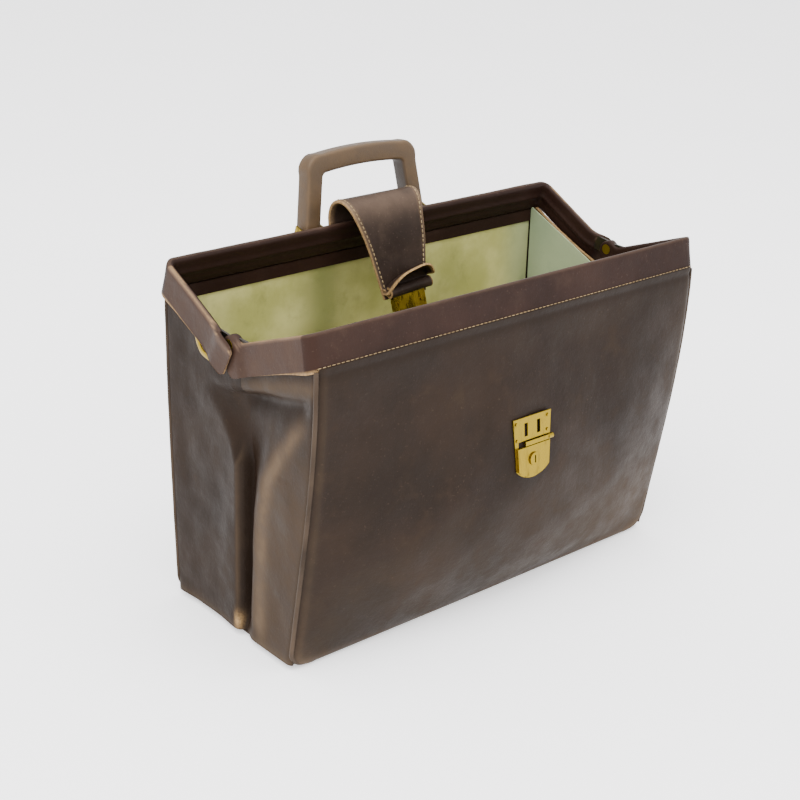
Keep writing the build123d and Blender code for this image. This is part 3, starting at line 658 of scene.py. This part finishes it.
def panel_leather(side):
    """One panel's hide: bellied, softly dented, and rolled in beside the piping, with painted highlights low
    down and painted shade along the piping, under the band, up top and, on the front, round the lock.
    """
    top_z = PANEL_TOP[side][1]
    foot = BASE_Z + FOOT_RADIUS * (1 - np.cos(np.linspace(0, math.pi / 2, 12)))
    middle = np.linspace(20, top_z - 8, 96)[1:]
    heights = np.concatenate([foot, middle, np.linspace(top_z - 6.5, top_z + 1.5, 6)])
    edge = 1 - np.array([0, 0.5, 1.0, 1.6, 2.3, 3.2, 4.4, 6.0]) / BASE_HALF_LENGTH
    spread = np.concatenate([-edge, np.linspace(-0.96, 0.96, 150), edge[::-1]])
    z = heights[:, None] * np.ones(len(spread))
    reach = end_reach(z)
    x = spread * reach
    y = panel_y(side, x, np.minimum(z, top_z))
    from_end = reach - np.abs(x)
    from_foot = z - BASE_Z
    calm = smooth(from_end, 4, 45) * smooth(from_foot, 4, 40) * smooth(top_z - z, 6, 40)
    points = stack(x, y, z)
    dents = 2.6 * ripple(points, 95.0, 1.7) + 1.1 * ripple(points, 38.0, 4.2)
    roll = 2.4 * bell(from_end, 2.6) + 1.8 * bell(from_foot, 2.4)
    seam = 1.0 * bell(top_z - z - 5.0, 3.5)
    from_left = BASE_HALF_LENGTH + x
    pull = 2.4 * bell(z - (225 - 0.55 * from_left), 9.0) * smooth(60 - from_left, 0, 50)
    points[..., 1] += FACING[side] * (dents * calm - roll - seam - pull * calm)
    corner = bell(np.hypot(from_end, from_foot), 16.0)
    wear_and_painted_light = 0.16 * bell(from_end - 5.0, 2.5) + 0.4 * bell(from_foot - 3, 4.0) + 0.5 * corner
    # Painted highlight and sheen, together with rubbed places, over the lower part and lower right of the
    # panel
    wear_and_painted_light += 0.22 * smooth(x, 20, 190) * smooth(120 - z, 0, 80) + 0.10 * smooth(150 - z, 0, 120)
    # Painted shade in the groove beside the piping, under the band's lip and over the upper part of the panel
    stain_and_painted_shade = 0.8 * bell(from_end - 1.0, 1.4) + 0.55 * bell(top_z - z - 3, 6) + 0.35 * smooth(z, 190, 250)
    if side == "front":
        # Painted shadow of the lock and strap tip on the leather round the lock
        shade = np.hypot((x - STRAP_X) / 27.0, (z - LOCK_Z) / 33.0)
        stain_and_painted_shade += 0.75 * bell(np.maximum(shade - 0.9, 0), 0.22)
    flip = side == "rear"
    paint = {"wear_and_painted_light": turned(flip, np.clip(wear_and_painted_light, 0, 1)), "stain_and_painted_shade": turned(flip, np.clip(stain_and_painted_shade, 0, 1))}
    hide = sheet_mesh(f"{side}_hide", turned(flip, points), LEATHER, HIDE, paint)
    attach(hide, f"{side}_panel")
    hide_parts(f"{side}_panel")


def inner_sheet(name, side, inset, thickness, low, high, material, sag, paint):
    """Sheet inside a panel, from one height to another."""
    half = LINING_HALF_LENGTH
    z = np.linspace(low, high, 46)[:, None] * np.ones(90)
    x = np.linspace(-half, half, 90) * np.ones((46, 1))
    y = panel_y(side, x, z) - FACING[side] * inset
    points = stack(x, y, z)
    ease = smooth(half - np.abs(x), 2, 30) * smooth(z - low, 0, 25) * smooth(high - z, 24, 60)
    folds = 0.5 + 0.5 * ripple(points * (1, 1, 0.25), 34.0, 7.1) + 0.35 * ripple(points, 22.0, 2.0)
    points[..., 1] -= FACING[side] * sag * ease * np.clip(folds, 0, 2)
    flipped = turned(side == "front", points)
    amounts = {k: v(flipped) for k, v in paint.items()}
    piece = sheet_mesh(name, flipped, -thickness, material, amounts)
    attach(piece, f"{side}_panel")
    return piece


def panel_inside(side):
    """Lining and facing of one panel, with painted shade on both."""
    top_z = PANEL_TOP[side][1]

    def shadow_stain(points):
        x, z = points[..., 0], points[..., 2]
        # Painted shadow beside the strap on the rear lining; the lining is also darker towards the bottom
        beside = 1.3 * bell(x + 48.0, 26.0) + 0.5 * bell(x - 95.0, 22.0) * bell(z - 215, 26.0)
        amount = 0.62 * beside if side == "rear" else 0.0
        return np.clip(amount + 0.25 * smooth(30 - z, 0, 25), 0, 1)

    def rear_teal_shade(points):
        # Painted teal shade over the rear lining's right end
        return 0.5 * smooth(points[..., 0], 150, 190) * (side == "rear")

    def mouth_shade(points):
        # Painted shade over the whole facing inside the mouth
        return np.full(points.shape[:-1], 0.35)

    lining = inner_sheet(
        f"{side}_cloth", side, LEATHER + 0.3, 1.0, 10.0, top_z - 7.0, CLOTH,
        3.2, {"stain_and_painted_shade": shadow_stain, "wear_and_painted_light": rear_teal_shade}
    )
    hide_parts(f"{side}_lining")
    strip = inner_sheet(
        f"{side}_mouth_strip", side, LEATHER + 1.6, 1.3, top_z - 12.0, top_z - 1.0, FRAME_HIDE,
        0.0, {"stain_and_painted_shade": mouth_shade}
    )
    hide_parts(f"{side}_facing")


def welt_line(side, end):
    """Line of the piping up one end of a panel, from the middle of its foot."""
    radius = FOOT_RADIUS
    line = []
    for x in np.linspace(0, BASE_HALF_LENGTH - radius, 40):
        line.append((end * x, BASE_Z + 0.6))
    for turn in np.linspace(0, math.pi / 2, 12)[1:]:
        x = BASE_HALF_LENGTH - radius + (radius + 0.9) * math.sin(turn)
        line.append((end * x, BASE_Z + radius - (radius - 0.6) * math.cos(turn)))
    for z in np.linspace(20, PANEL_TOP[side][1] - 1, 60):
        line.append((end * (BASE_HALF_LENGTH + 0.9), z))
    line = np.array(line)
    y = panel_y(side, np.clip(line[:, 0], -BASE_HALF_LENGTH, BASE_HALF_LENGTH), line[:, 1])
    return stack(line[:, 0], y - FACING[side] * 0.9, line[:, 1])


def welts(side):
    """Piping round a panel's foot and ends, in two runs that meet under its middle."""
    for end in (-1, 1):
        line = welt_line(side, end)
        rings = []
        for k, place in enumerate(line):
            ahead = heading(line, k)
            aside = np.cross(ahead, (0, 1, 0))
            aside /= np.linalg.norm(aside)
            third = np.cross(ahead, aside)
            radius = 1.85 + 0.15 * noise.noise(Vector(place / 9.0))
            turns = np.linspace(0, 2 * math.pi, 14, endpoint=False)[:, None]
            rings.append(place + radius * (np.cos(turns) * aside + np.sin(turns) * third))
        wear_and_painted_light = [[0.16 + 0.30 * noise.noise(Vector(r[0] / 30.0))] * 14 for r in rings]
        bead = ring_mesh(f"{side}_{END_NAME[end]}_piping", rings, PIPING, {"wear_and_painted_light": wear_and_painted_light})
        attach(bead, f"{side}_panel")
    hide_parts(f"{side}_welts")


# Gussets ----------------------------------------------------------------------------------

CREASE_Y = -13.0
LIP_Y = -6.5
HINGE_DIP = 228.0
GUSSET_HIGH = {"rear": 269.5, "front": 260.5}
GUSSET_X = 200.7
GUSSET_FOOT = 5.3
CLOTH_X = 196.4
CLOTH_FOOT = 9.0
RIDGE = ((5, -31.0), (43, -32.0), (114, -34.0), (151, -41.0))
RIDGE += ((177, -57.0), (210, -82.0), (233, -92.0), (262, -97.0))
FOLD = ((-100, 235.5), (-86, 232.0), (-41, 220.0), (0, 208.0), (33, 207.0), (90, 214.0))


def gusset_top(side, y):
    """Height of a gusset's top edge: it follows the arms down to the hinge."""
    share = (y - CREASE_Y) / (panel_y(side, BASE_HALF_LENGTH, 255.0) - CREASE_Y)
    return HINGE_DIP + (GUSSET_HIGH[side] - HINGE_DIP) * np.clip(share, 0, 1.02)


def gusset_hollow(y, z):
    """How far the gusset is drawn in: a hollow in front of the crease, under a fold at the top."""
    ridge = read_off(RIDGE, z)
    deep = np.interp(z, (4, 30, 150, 178, 205, 262), (5.0, 12.0, 13.5, 10.5, 9.0, 7.0))
    ahead = smooth(y, ridge, CREASE_Y) ** 1.15
    lip = np.interp(z, (4, 150, 172, 200, 262), (7.0, 7.0, 18.0, 46.0, 60.0))
    behind = 1 - smooth(y, CREASE_Y, CREASE_Y + lip)
    hollow = deep * np.where(y < CREASE_Y, ahead, behind)
    fold = read_off(FOLD, y)
    under = 5.0 * bell(z - fold + 7, 8.0) * smooth(-y, 8, 25) * smooth(y, -101, -84)
    return (hollow + under) * (1 - 0.85 * smooth(z, fold - 2, fold + 5))


def gusset_half(end, side):
    """Half of an end gusset's hide, from its crease to one panel, with painted highlights on its ridge and
    fold and painted shade in its crease and hollows.
    """
    name = f"{END_NAME[end]}_{side}_gusset"
    near_welt = 1 - np.array([0.055, 0.04, 0.028, 0.018, 0.009, 0])
    share = np.concatenate([np.linspace(0, 0.16, 12), np.linspace(0.18, 0.93, 44), near_welt])
    up = np.concatenate([np.linspace(0, 0.06, 6), np.linspace(0.07, 0.97, 100), [0.98, 0.99, 1.0]])
    rows = []
    for t in up:
        z_guess = GUSSET_FOOT + t * 245.0
        edge = panel_y(side, BASE_HALF_LENGTH, z_guess) - FACING[side] * 0.6
        y = CREASE_Y + share * (edge - CREASE_Y)
        z = GUSSET_FOOT + t * (gusset_top(side, y) - GUSSET_FOOT)
        rows.append(stack(0.0, y, z))
    points = np.array(rows)
    y, z = points[..., 1], points[..., 2]
    edge = panel_y(side, BASE_HALF_LENGTH, z)
    from_welt = np.abs(edge - y)
    hollow = gusset_hollow(y, z)
    roll = 2.2 * bell(from_welt, 2.4)
    calm = smooth(from_welt, 3, 25) * smooth(np.abs(y - CREASE_Y), 2, 20) * smooth(z, 6, 30)
    swell = 1.5 * ripple(points, 46.0, 2.6 + end) + 0.8 * ripple(points, 19.0, 8.4)
    flat = 2.0 * smooth(from_welt, 0, 30) * smooth(np.abs(y - LIP_Y), 0, 30)
    limit = np.where(z > 160, 0.1, 1.6)
    outwards = np.minimum(swell * calm - hollow - roll - (flat if side == "rear" else 0.0), limit)
    points[..., 0] = end * (GUSSET_X + outwards)
    ridge = read_off(RIDGE, z)
    # Painted highlight along the ridge and over the front half, together with rubbed places; rubbed lip and
    # foot
    wear_and_painted_light = 0.9 * bell(y - ridge + 5.0, 8.0) * smooth(z, 0, 30) * smooth(235 - z, 0, 40)
    wear_and_painted_light += 0.30 * smooth(ridge - y, 0, 14) * smooth(230 - z, 0, 80)
    wear_and_painted_light += 0.55 * bell(y - LIP_Y - 0.2, 1.0) * smooth(172 - z, 0, 20) + 0.45 * bell(z - 6, 5)
    fold = read_off(FOLD, y)
    # Painted highlight on the strip above the front fold, which faces up
    wear_and_painted_light += 0.6 * bell(z - fold - 6, 7.0) * (side == "front")
    # Painted shade in the crease recess, beside the piping, under the front fold and in the hollow, with some
    # dirt near the crease
    stain_and_painted_shade = 0.95 * bell(y - CREASE_Y, 4.5) * smooth(175 - z, 0, 20) + 0.8 * bell(from_welt - 0.5, 1.5)
    stain_and_painted_shade += 0.9 * bell(z - fold + 11, 11.0) * (side == "front") + 0.35 * smooth(y, ridge, CREASE_Y)
    raw = 0.9 * bell(np.hypot((y - LIP_Y) / 2.2, (z - 13) / 7.0), 1.0)
    raw += 0.8 * bell(gusset_top(side, y) - z, 0.8)
    flip = (end < 0) != (side == "front")
    amounts = {"wear_and_painted_light": wear_and_painted_light, "stain_and_painted_shade": stain_and_painted_shade, "raw": raw}
    paint = {key: turned(flip, np.clip(amount, 0, 1)) for key, amount in amounts.items()}
    hide = sheet_mesh(name, turned(flip, points), LEATHER, HIDE, paint)
    bend(hide)
    return hide


def gusset_cloth(end, side):
    """Half of an end gusset's lining, just inside its hide, with painted teal shade on its rear half."""
    name = f"{END_NAME[end]}_{side}_gusset_cloth"
    rows = []
    for t in np.linspace(0, 1, 46):
        edge = panel_y(side, BASE_HALF_LENGTH, CLOTH_FOOT + t * 240.0) - FACING[side] * 4.2
        y = CREASE_Y + np.linspace(0, 1, 30) * (edge - CREASE_Y)
        z = CLOTH_FOOT + t * (gusset_top(side, y) + 1.0 - CLOTH_FOOT)
        rows.append(stack(0.0, y, z))
    points = np.array(rows)
    y, z = points[..., 1], points[..., 2]
    draw = 0.8 * ripple(points, 40.0, 6.0) + 0.8
    points[..., 0] = end * (CLOTH_X - gusset_hollow(y, z) - draw * smooth(np.abs(y - CREASE_Y), 1, 15))
    flip = (end < 0) == (side == "front")
    # Painted teal shade over the rear half; the lining is also darker towards the bottom
    teal = np.full(y.shape, 0.75 if side == "rear" else 0.0)
    stain_and_painted_shade = 0.25 * smooth(40 - z, 0, 30)
    paint = {"wear_and_painted_light": turned(flip, teal), "stain_and_painted_shade": turned(flip, stain_and_painted_shade)}
    cloth = sheet_mesh(name, turned(flip, points), -1.0, CLOTH, paint)
    bend(cloth)
    return cloth


def gussets():
    """Both ends, hide and lining, each in two halves that meet at the crease."""
    for end, name in END_NAME.items():
        for side in ("front", "rear"):
            hide = gusset_half(end, side)
            cloth = gusset_cloth(end, side)
            if side == "front":
                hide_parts(f"{name}_gusset")
                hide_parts(f"{name}_gusset_lining")


def gusset_binding(end):
    """Tan raw edge turned out along the rear half of a gusset's top."""
    rings = []
    for t in np.linspace(0.12, 0.97, 40):
        height = 10 + t * 84
        depth = PARTING + BAND_DEPTH + 6.5 + 1.2 * noise.noise(Vector((t * 7, end, 0.3)))
        ring = []
        for turn in np.linspace(0, 2 * math.pi, 10, endpoint=False):
            out = BINDING_X + 1.5 * math.cos(turn)
            ring.append(opened("rear", end * out, depth + 2.2 * math.sin(turn), height))
        rings.append(ring)
    raw = np.full((len(rings), 10), 0.75)
    edge = ring_mesh(f"{END_NAME[end]}_gusset_binding", rings, HIDE, {"raw": raw})
    bend(edge)


# Base -------------------------------------------------------------------------------------


def rounded_steps(low, high, count):
    """Places from low to high, closer together beside both ends."""
    return np.concatenate([[low, low + 0.8], np.linspace(low + 3, high - 3, count), [high - 0.8, high]])


def base_sheet(name, node, margin, material):
    """Flat layer of the base with rounded edges."""
    low, high = [1000 * np.array(c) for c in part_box(node)]
    x = rounded_steps(low[0], high[0], 80)
    y = rounded_steps(low[1], high[1], 30)
    points = stack(x[None, :], y[:, None], 0.0)
    from_end = np.minimum(x - low[0], high[0] - x)[None, :]
    from_side = np.minimum(y - low[1], high[1] - y)[:, None]
    edge = np.minimum(from_end, from_side)
    uneven = margin * 0.5 * ripple(points, 40.0, 1.0) * smooth(edge, 3, 20)
    points[..., 2] = high[2] - margin * (1 - smooth(edge, 0, 3)) + uneven - margin * 0.5
    piece = sheet_mesh(name, points, high[2] - low[2] - margin, material, {"wear_and_painted_light": 0.3 * bell(edge, 4.0)})
    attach(piece, "body")
    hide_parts(node)


# Handle -----------------------------------------------------------------------------------

HANDLE_PIVOT = (93.90, 284.77)
HANDLE_LEAN = math.radians(7.5)


def handle_line():
    """Middle line of the handle in its own plane: tapered legs and a slightly arched bar."""
    foot, top, high, radius = 57.5, 49.5, 55.5, 12.0
    arch = 2.2
    rounding = ((0.9, 7.9), (0.85, 7.2), (0.75, 5.6), (0.5, 3.4), (0.0, 0.0))
    line = [(-foot - aside, -below) for aside, below in rounding]
    for t in np.linspace(0.1, 1, 9):
        line.append((-foot + (foot - top) * t * (high - radius) / high, t * (high - radius)))
    centre = (line[-1][0] + radius, high - radius)
    for turn in np.linspace(170, 95, 9):
        angle = math.radians(turn)
        line.append((centre[0] + radius * math.cos(angle), centre[1] + radius * math.sin(angle)))
    start = line[-1][0]
    for t in np.linspace(0, 1, 14)[1:]:
        x = start * (1 - t)
        line.append((x, high + arch * (1 - (x / start) ** 2)))
    return np.array(line + [(-x, h) for x, h in line[::-1][1:]])


def handle_grip():
    """Moulded handle: a soft-cornered square section along its line, round at its feet."""
    line = handle_line()
    turns = np.linspace(0, 2 * math.pi, 28, endpoint=False)
    rings = []
    wear_and_painted_light = []
    stain_and_painted_shade = []
    for k, (x, h) in enumerate(line):
        ahead = heading(line, k)
        aside = np.array([-ahead[1], ahead[0]])
        below = min(0.98, max(0.0, -h / 8.0))
        half_depth = 8.0 * math.sqrt(1 - below**2)
        half_width = 7.7 + 0.5 * smooth(h, 40, 54)
        bulge = 2.4 * float(smooth(2 * abs(ahead[0] * ahead[1]), 0.30, 1.0))
        ring = []
        for turn in turns:
            c, s = math.cos(turn), math.sin(turn)
            wide = (half_width + (bulge if c > 0 else 0.0)) * math.copysign(abs(c) ** 0.34, c)
            deep = half_depth * math.copysign(abs(s) ** 0.34, s)
            px, ph = x + aside[0] * wide, h + aside[1] * wide
            y = HANDLE_PIVOT[0] + deep * math.cos(HANDLE_LEAN) + ph * math.sin(HANDLE_LEAN)
            z = HANDLE_PIVOT[1] - deep * math.sin(HANDLE_LEAN) + ph * math.cos(HANDLE_LEAN)
            ring.append((HANDLE_X + px, y, z))
        rings.append(ring)
        wear_and_painted_light.append(0.5 * np.abs(np.sin(2 * turns)) ** 4)
        # Painted shade on the inner side of the grip, under the bar and inside the legs
        stain_and_painted_shade.append(1.0 * (np.cos(turns) < -0.6))
    grip = ring_mesh("handle_grip", rings, PLASTIC, {"wear_and_painted_light": wear_and_painted_light, "stain_and_painted_shade": stain_and_painted_shade}, 55)
    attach(grip, "handle")
    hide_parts("handle")


# Closure strap ----------------------------------------------------------------------------

STRAP_LINE = ((87.4, 274.4), (83.8, 288.0), (84.2, 299.0), (81.2, 308.0), (74.2, 313.0))
STRAP_LINE += ((66.0, 312.6), (58.6, 305.0), (50.6, 285.0), (43.6, 262.5), (35.4, 234.5))
STRAP_THICK = 3.0
STRAP_LEAN = 3.0
TIP_HALF_WIDTH = 23.0


def strap_half_width(share):
    """Half width of the strap from its root to its tip."""
    return np.interp(share, (0, 0.36, 0.55, 1), (40.5, 40.5, 34.5, TIP_HALF_WIDTH))


def strap_middle(share):
    """Middle of the strap: its root has shifted to the left of its tip."""
    return STRAP_X - STRAP_LEAN - 4.0 * (1 - smooth(share, 0.30, 0.75))


def strap_ring(place, ahead, middle, half, crown):
    """Rounded section of the strap across its line."""
    ring = []
    normal = np.array([-ahead[1], ahead[0]])
    corners = 5
    edge = STRAP_THICK / 2
    for turn in np.linspace(-math.pi / 2, math.pi / 2, corners):
        ring.append((half - edge * 0.6 + edge * 0.6 * math.cos(turn), edge * math.sin(turn)))
    for t in np.linspace(1, -1, 17)[1:-1]:
        seam = 0.35 * bell(abs((half - edge) * t) - half + 4.5, 0.7)
        ring.append(((half - edge) * t, edge + crown * (1 - t * t) - seam))
    for turn in np.linspace(math.pi / 2, 3 * math.pi / 2, corners):
        ring.append((-half + edge * 0.6 + edge * 0.6 * math.cos(turn), edge * math.sin(turn)))
    for t in np.linspace(-1, 1, 17)[1:-1]:
        ring.append(((half - edge) * t, -edge + crown * (1 - t * t)))
    return np.array([(middle + x, place[0] + normal[0] * n, place[1] + normal[1] * n) for x, n in ring])


def strap():
    """Closure strap: one hide from the rear rail over its arch and down into the mouth."""
    line = curve_through(STRAP_LINE, 9)
    steps = np.linalg.norm(np.diff(line, axis=0), axis=1)
    reach = np.concatenate([[0], np.cumsum(steps)])
    share = reach / reach[-1]
    rings = []
    edges = {-1: [], 1: []}
    for k, place in enumerate(line):
        ahead = heading(line, k)
        half = float(strap_half_width(share[k]))
        crown = -1.2 * float(smooth(share[k], 0.55, 0.8))
        middle = float(strap_middle(share[k]))
        rings.append(strap_ring(place, -ahead, middle, half, crown))
        front = np.array([ahead[1], -ahead[0]])
        for side in (-1, 1):
            out = STRAP_THICK / 2 + 0.1
            x = middle + side * (half - 3.2)
            edges[side].append((x, place[0] + front[0] * out, place[1] + front[1] * out))
    rings = np.array(rings)
    offset = rings[..., 0] - strap_middle(share)[:, None]
    across = np.abs(offset) / strap_half_width(share)[:, None]
    raw = 0.8 * smooth(across, 0.965, 1.0)
    wear_and_painted_light = 0.36 * bell(share - 0.42, 0.10)[:, None] * np.ones(across.shape) + 0.3 * smooth(across, 0.86, 0.97)
    # Darker lines along two creases near the strap's edges
    crease = bell(offset - 29 + 10 * share[:, None], 0.8) + bell(offset - 34 + 11 * share[:, None], 0.8)
    stain_and_painted_shade = 0.8 * crease * smooth(share, 0.4, 0.5)[:, None]
    paint = {"raw": raw, "wear_and_painted_light": np.clip(wear_and_painted_light, 0, 1), "stain_and_painted_shade": np.clip(stain_and_painted_shade, 0, 1)}
    hide = ring_mesh("closure_strap", rings, STRAP_HIDE, paint)
    bend(hide)
    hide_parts("strap_root", "strap_tongue")
    for side, line in edges.items():
        places, along = even_points(np.array(line), 4.0)
        row = stitch_mesh(f"strap_{END_NAME[side]}_stitches", places, along, 2.7, 0.5, LINEN)
        bend(row)


def strap_tab():
    """Pull tab on the strap's tip: a roll below, a hollow above it with painted shadow, and a flared rounded
    lip.
    """
    profile = ((32.4, 247.5), (29.6, 247.2), (26.4, 244.6), (26.0, 241.2), (28.2, 238.9), (31.0, 239.6),
               (33.0, 243.4), (34.6, 249.5), (33.8, 256.0), (29.6, 262.0), (21.6, 266.8))
    roll = curve_through(profile, 5)
    last = len(roll) - 1
    spread = np.linspace(-1, 1, 33)
    rows = []
    for k, (y, z) in enumerate(roll):
        up = float(smooth(k, 0.55 * last, last))
        half = TIP_HALF_WIDTH + 2.0 * up
        x = STRAP_X - STRAP_LEAN + half * spread
        fall = up * (9.0 * (1 - spread) / 2 + 15.0 * np.abs(spread) ** 3.4)
        slack = 1.2 * np.sin(2.2 * spread + 0.4)
        rows.append(stack(x, y + 0.30 * fall + 0.4 * slack, z - fall + 1.2 * spread))
    rows = np.array(rows)
    raw = np.zeros(rows.shape[:2])
    raw[-1, :] = 1.0
    raw[-2, :] = 0.5
    raw[:, (0, -1)] = 0.6
    stain_and_painted_shade = np.zeros(rows.shape[:2])
    # Painted shadow over the hollow under the flared lip
    stain_and_painted_shade[int(0.55 * last) : int(0.93 * last), 1:-1] = 0.9
    tab = sheet_mesh("strap_pull_tab", rows, 1.6, STRAP_HIDE, {"raw": raw, "stain_and_painted_shade": stain_and_painted_shade})
    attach(tab, "strap")
    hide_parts("strap_tab")


# Metal and the other nodes that keep their CAD shape ------------------------------------------


def finish_nodes():
    """Materials of the CAD nodes that stay, with the arrises of the brass ones eased."""
    kept = {
        "bright": ("hasp_plate", "hasp_staples", "hasp_rivets", "lock_plate", "lock_bolt", "key_plug",
                   "lock_rivets"),
        "old": ("feet", "left_hinge_pin", "right_hinge_pin", "left_handle_bracket", "right_handle_bracket",
                "handle_pins", "strap_rivets"),
        "steel": ("rear_frame_bar", "front_frame_bar", "lock_case"),
        "board": ("base_board",),
    }
    finishes = {"bright": BRIGHT_BRASS, "old": OLD_BRASS, "steel": IRON, "board": CARD}
    for kind, names in kept.items():
        for name in names:
            node = frame["nodes"][name]
            for place in node.material_slots:
                place.link = "OBJECT"
                place.material = finishes[kind]
            if kind in ("bright", "old"):
                ease = node.modifiers.new("eased", "BEVEL")
                ease.width = 0.35 * MM
                ease.segments = 2
                ease.limit_method = "ANGLE"
                ease.angle_limit = math.radians(35)


# Studio -----------------------------------------------------------------------------------


def staged_floor(name, size, material):
    """Flat floor of the studio."""
    half = size / 2
    mesh = bpy.data.meshes.new(name)
    corners = [(-half, -half, 0), (half, -half, 0), (half, half, 0), (-half, half, 0)]
    mesh.from_pydata(corners, [], [(0, 1, 2, 3)])
    mesh.materials.append(material)
    obj = bpy.data.objects.new(name, mesh)
    bpy.context.scene.collection.objects.link(obj)


def area_light(name, place, target, size, power):
    """Soft square lamp that faces a target."""
    lamp = bpy.data.lights.new(name, "AREA")
    lamp.size = size
    lamp.energy = power
    obj = bpy.data.objects.new(name, lamp)
    obj.location = place
    obj.rotation_euler = (Vector(target) - Vector(place)).to_track_quat("-Z", "Y").to_euler()
    bpy.context.scene.collection.objects.link(obj)


def studio():
    """Pale floor, a white sky and soft lamps."""
    staged_floor("studio_floor", 40.0, studio_white("floor_paper", 0.9))
    world = bpy.data.worlds.new("studio_sky")
    world.use_nodes = True
    world.node_tree.nodes["Background"].inputs["Color"].default_value = (1, 0.995, 1, 1)
    world.node_tree.nodes["Background"].inputs["Strength"].default_value = 2.3
    bpy.context.scene.world = world
    area_light("window", (-1.9, -0.6, 2.3), (0, 0, 0.15), 2.2, 90)
    area_light("front_fill", (0.9, -2.4, 1.2), (0, 0, 0.1), 2.4, 30)
    area_light("top", (0.0, -0.4, 2.6), (0, 0, 0), 1.8, 60)


CAMERA_PLACE = (-0.83803, -0.90827, 0.67137)
CAMERA_TURN = (41.604, 22.876, 2.133)
CAMERA_LENS = 71.39


def camera():
    """Camera at the viewing angle: from the left, in front and above."""
    yaw, pitch, roll = [math.radians(turn) for turn in CAMERA_TURN]
    ahead = Vector((math.sin(yaw) * math.cos(pitch), math.cos(yaw) * math.cos(pitch), -math.sin(pitch)))
    level = Vector((math.cos(yaw), -math.sin(yaw), 0))
    rise = level.cross(ahead)
    across = math.cos(roll) * level + math.sin(roll) * rise
    up = -math.sin(roll) * level + math.cos(roll) * rise
    lens = bpy.data.cameras.new("camera")
    lens.sensor_width = 36
    lens.lens = CAMERA_LENS
    obj = bpy.data.objects.new("camera", lens)
    place = Matrix((across, up, -ahead)).transposed().to_4x4()
    place.translation = Vector(CAMERA_PLACE)
    obj.matrix_world = place
    bpy.context.scene.collection.objects.link(obj)
    bpy.context.scene.camera = obj


def bag():
    """Every piece of the bag."""
    for side in ("rear", "front"):
        frame_cover(side)
        band_stitches(side)
        panel_leather(side)
        panel_inside(side)
        welts(side)
    gussets()
    for end in (-1, 1):
        hinge_strip(end)
        gusset_binding(end)
    base_sheet("base_hide", "base_leather", 1.0, HIDE)
    base_sheet("base_cloth", "base_lining", 0.2, CLOTH)
    handle_grip()
    strap()
    strap_tab()
    finish_nodes()


camera()
studio()
bag()
